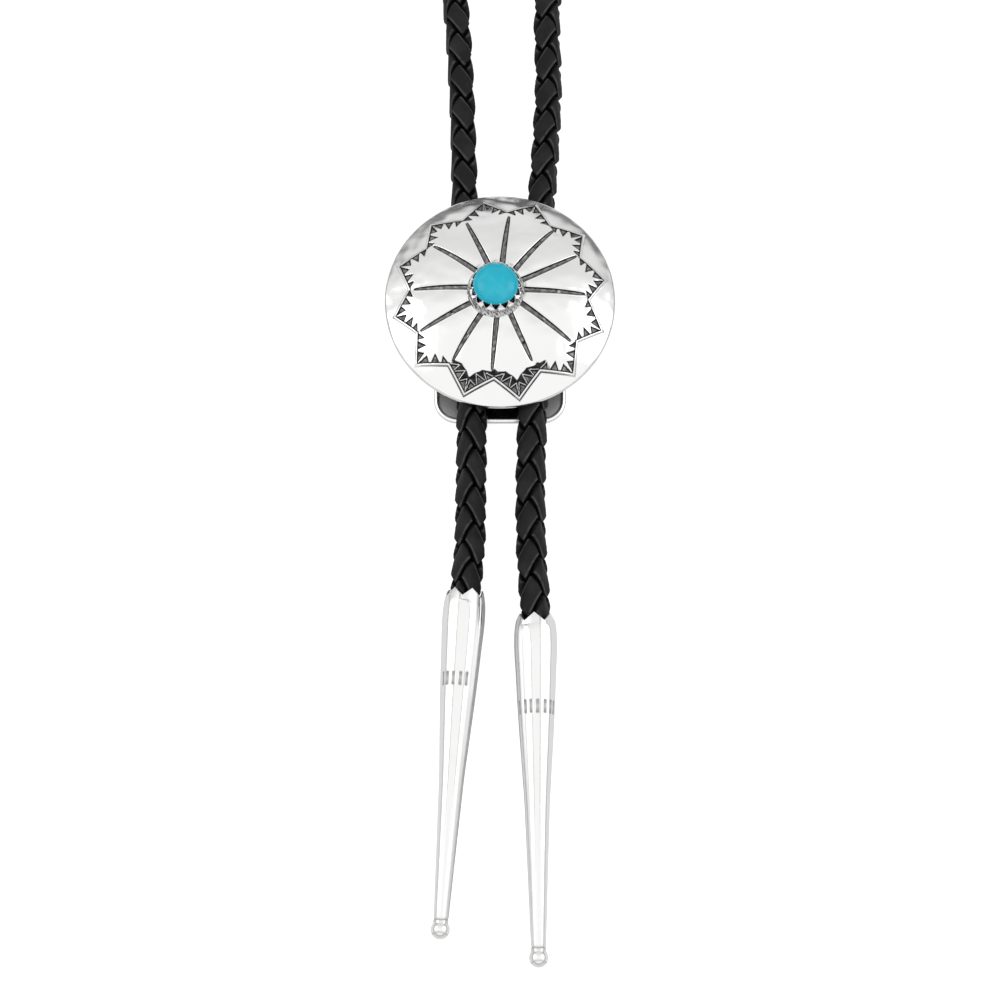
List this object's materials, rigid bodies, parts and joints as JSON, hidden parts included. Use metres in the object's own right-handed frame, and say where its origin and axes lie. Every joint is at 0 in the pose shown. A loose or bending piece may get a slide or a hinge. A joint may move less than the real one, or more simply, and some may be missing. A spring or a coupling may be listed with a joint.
{
  "type": "bolo tie",
  "caption": "Bolo tie: a stamped round silver concho with a turquoise cabochon on a black braided leather cord with fluted silver tips, its neck loop laid open.",
  "frame": {"origin": "on the clasp's flat back, straight below the concho's centre", "axes": "+X right, +Y along the cord towards the neck loop, +Z out of the surface the tie lies on, through the concho"},
  "size_m": [0.1639, 0.4792, 0.0177],
  "materials": {
    "stamped_silver": "polished sterling silver with blackened grooves and stamp marks",
    "tip_silver": "brightly polished silver sheet with soft flutes",
    "clasp_metal": "satin nickel-plated metal with a bright worn rim",
    "turquoise": "polished even blue turquoise",
    "braided_leather": "black round-braided leather with a soft satin sheen"
  },
  "bodies": {
    "root": {"concho": "stamped_silver", "stone": "turquoise", "slide_clasp": "clasp_metal", "braided_cord": "braided_leather", "left_tip": "tip_silver", "right_tip": "tip_silver"}
  },
  "joints": []
}
